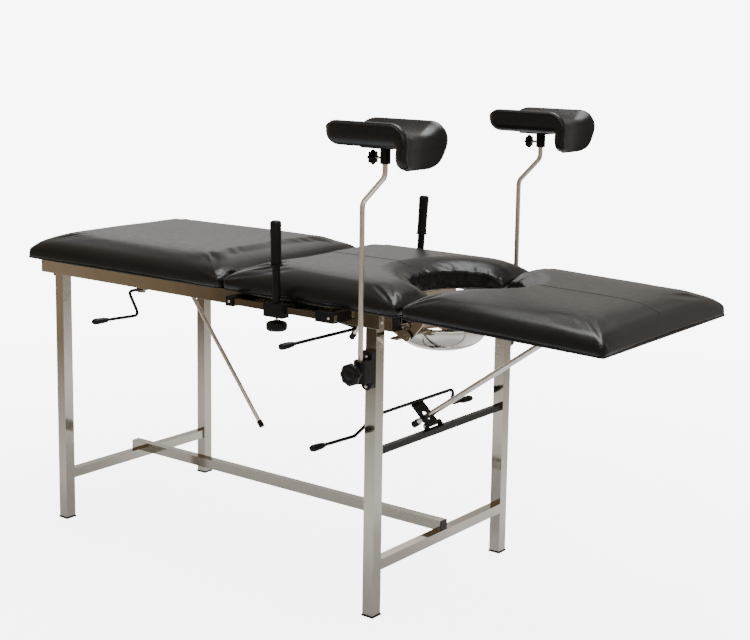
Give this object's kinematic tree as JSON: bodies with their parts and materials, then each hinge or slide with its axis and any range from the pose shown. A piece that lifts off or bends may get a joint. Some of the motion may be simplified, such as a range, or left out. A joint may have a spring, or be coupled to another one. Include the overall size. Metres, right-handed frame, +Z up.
{
  "type": "medical exam table",
  "caption": "Padded examination and delivery table on a welded tube frame, with folding sections, leg supports, handgrips, basin and release levers.",
  "frame": {"origin": "centre of the table's footprint, on the floor", "axes": "+X toward the foot end, +Y to the far side, +Z up"},
  "size_m": [1.7778, 0.808, 1.15],
  "materials": {
    "stainless": "polished",
    "chromed": "polished",
    "vinyl": "satin",
    "plywood": "matte",
    "black_paint": "satin",
    "black_rubber": "matte",
    "black_plastic": "satin"
  },
  "bodies": {
    "frame": {"near_head_leg": "stainless", "near_foot_leg": "stainless", "far_head_leg": "stainless", "far_foot_leg": "stainless", "near_rail": "stainless", "far_rail": "stainless", "foot_caps": "black_rubber", "tube_plugs": "black_plastic", "rail_cross_tubes": "stainless", "lower_cross_rails": "stainless", "stretcher": "stainless", "crossbar": "black_paint", "rod_guides": "stainless", "hinge_plates": "stainless", "hinge_pins": "stainless", "basin_runners": "stainless", "handgrip_tracks": "stainless", "track_brackets": "black_plastic", "frame_screws": "stainless", "near_leg_clamp": "black_plastic", "far_leg_clamp": "black_plastic"},
    "back_section": {"back_frame": "stainless", "back_board": "plywood", "back_pad": "vinyl"},
    "back_locking_rod": {"back_rod": "chromed", "back_rod_cap": "black_plastic"},
    "seat_section": {"seat_frame": "stainless", "seat_board": "plywood", "seat_pad": "vinyl"},
    "seat_locking_rod": {"seat_rod": "chromed", "seat_rod_cap": "black_plastic"},
    "foot_section": {"foot_frame": "stainless", "foot_board": "plywood", "foot_pad": "vinyl"},
    "strut": {"foot_strut": "chromed", "foot_strut_cap": "black_plastic"},
    "foot_lock": {"lock_plate": "black_paint", "lock_lever": "black_paint", "lock_lever_grips": "black_rubber"},
    "back_release": {"back_lever": "black_paint", "back_lever_grip": "black_rubber"},
    "seat_release": {"seat_lever": "black_paint", "seat_lever_grip": "black_rubber"},
    "basin_body": {"basin": "stainless"},
    "near_post": {"near_support_post": "chromed"},
    "near_leg_rest": {"near_rest_carrier": "black_paint", "near_rest_pad": "vinyl"},
    "near_clamp_knob_body": {"near_clamp_knob": "black_plastic"},
    "near_star_knob_body": {"near_star_knob": "black_plastic"},
    "near_handgrip_body": {"near_handgrip_slider": "black_plastic", "near_handgrip": "black_rubber"},
    "near_handgrip_knob_body": {"near_handgrip_knob": "black_plastic"},
    "far_post": {"far_support_post": "chromed"},
    "far_leg_rest": {"far_rest_carrier": "black_paint", "far_rest_pad": "vinyl"},
    "far_clamp_knob_body": {"far_clamp_knob": "black_plastic"},
    "far_star_knob_body": {"far_star_knob": "black_plastic"},
    "far_handgrip_body": {"far_handgrip_slider": "black_plastic", "far_handgrip": "black_rubber"},
    "far_handgrip_knob_body": {"far_handgrip_knob": "black_plastic"}
  },
  "joints": [
    {"name": "back_section_tilt", "type": "hinge", "parent": "frame", "child": "back_section", "pos_m": [-0.163, 0, 0.735], "axis": [0, 1, 0], "range_deg": [0, 65]},
    {"name": "back_rod_pivot", "type": "hinge", "parent": "back_section", "child": "back_locking_rod", "pos_m": [-0.58, -0.026, 0.694], "axis": [0, 1, 0], "range_deg": [-8, 2]},
    {"name": "seat_section_tilt", "type": "hinge", "parent": "frame", "child": "seat_section", "pos_m": [-0.163, 0, 0.735], "axis": [0, -1, 0], "range_deg": [0, 12]},
    {"name": "seat_rod_pivot", "type": "hinge", "parent": "seat_section", "child": "seat_locking_rod", "pos_m": [0.118, -0.026, 0.694], "axis": [0, -1, 0], "range_deg": [-1, 8]},
    {"name": "foot_section_fold", "type": "hinge", "parent": "frame", "child": "foot_section", "pos_m": [0.373, 0, 0.668], "axis": [0, 1, 0], "range_deg": [-1.5, 85]},
    {"name": "strut_pivot", "type": "hinge", "parent": "foot_section", "child": "strut", "pos_m": [0.659, -0.026, 0.653], "axis": [0, 1, 0], "range_deg": [-46, 3]},
    {"name": "foot_lock_tilt", "type": "hinge", "parent": "frame", "child": "foot_lock", "pos_m": [0.287, -0.026, 0.404], "axis": [0, 1, 0], "range_deg": [-3, 46]},
    {"name": "back_lever_turn", "type": "hinge", "parent": "frame", "child": "back_release", "pos_m": [-0.509, -0.15, 0.663], "axis": [0, 1, 0], "range_deg": [0, 14], "stiffness_Nm_per_rad": 3},
    {"name": "seat_lever_turn", "type": "hinge", "parent": "frame", "child": "seat_release", "pos_m": [0.112, -0.15, 0.664], "axis": [0, 1, 0], "range_deg": [0, 8], "stiffness_Nm_per_rad": 3},
    {"name": "basin_slide", "type": "slide", "parent": "frame", "child": "basin_body", "axis": [1, 0, 0], "range_m": [0, 0.07]},
    {"name": "near_post_swivel", "type": "hinge", "parent": "frame", "child": "near_post", "pos_m": [0.295, -0.322, 0.6], "axis": [0, 0, -1], "range_deg": [-15, 60]},
    {"name": "near_leg_rest_swivel", "type": "hinge", "parent": "near_post", "child": "near_leg_rest", "pos_m": [0.356, -0.322, 1.07], "axis": [0, 0, -1], "range_deg": [-30, 30]},
    {"name": "near_clamp_knob_turn", "type": "hinge", "parent": "frame", "child": "near_clamp_knob_body", "pos_m": [0.295, -0.35, 0.587], "axis": [0, -1, 0], "continuous": true},
    {"name": "near_star_knob_turn", "type": "hinge", "parent": "near_leg_rest", "child": "near_star_knob_body", "pos_m": [0.329, -0.322, 1.069], "axis": [-1, 0, 0], "continuous": true},
    {"name": "near_handgrip_slide", "type": "slide", "parent": "frame", "child": "near_handgrip_body", "axis": [1, 0, 0], "range_m": [-0.089, 0.068]},
    {"name": "near_handgrip_knob_turn", "type": "hinge", "parent": "near_handgrip_body", "child": "near_handgrip_knob_body", "pos_m": [0.042, -0.316, 0.66], "axis": [0, 0, -1], "continuous": true},
    {"name": "far_post_swivel", "type": "hinge", "parent": "frame", "child": "far_post", "pos_m": [0.295, 0.322, 0.6], "axis": [0, 0, 1], "range_deg": [-15, 60]},
    {"name": "far_leg_rest_swivel", "type": "hinge", "parent": "far_post", "child": "far_leg_rest", "pos_m": [0.356, 0.322, 1.07], "axis": [0, 0, 1], "range_deg": [-30, 30]},
    {"name": "far_clamp_knob_turn", "type": "hinge", "parent": "frame", "child": "far_clamp_knob_body", "pos_m": [0.295, 0.35, 0.587], "axis": [0, 1, 0], "continuous": true},
    {"name": "far_star_knob_turn", "type": "hinge", "parent": "far_leg_rest", "child": "far_star_knob_body", "pos_m": [0.329, 0.322, 1.069], "axis": [-1, 0, 0], "continuous": true},
    {"name": "far_handgrip_slide", "type": "slide", "parent": "frame", "child": "far_handgrip_body", "axis": [1, 0, 0], "range_m": [-0.041, 0.133]},
    {"name": "far_handgrip_knob_turn", "type": "hinge", "parent": "far_handgrip_body", "child": "far_handgrip_knob_body", "pos_m": [-0.006, 0.316, 0.66], "axis": [0, 0, -1], "continuous": true}
  ],
  "couplings": [
    {"joint": "back_rod_pivot", "follows": "back_section_tilt", "ratio": -0.08},
    {"joint": "seat_rod_pivot", "follows": "seat_section_tilt", "ratio": 0.4},
    {"joint": "strut_pivot", "follows": "foot_section_fold", "ratio": -0.5},
    {"joint": "foot_lock_tilt", "follows": "foot_section_fold", "ratio": 0.5}
  ]
}
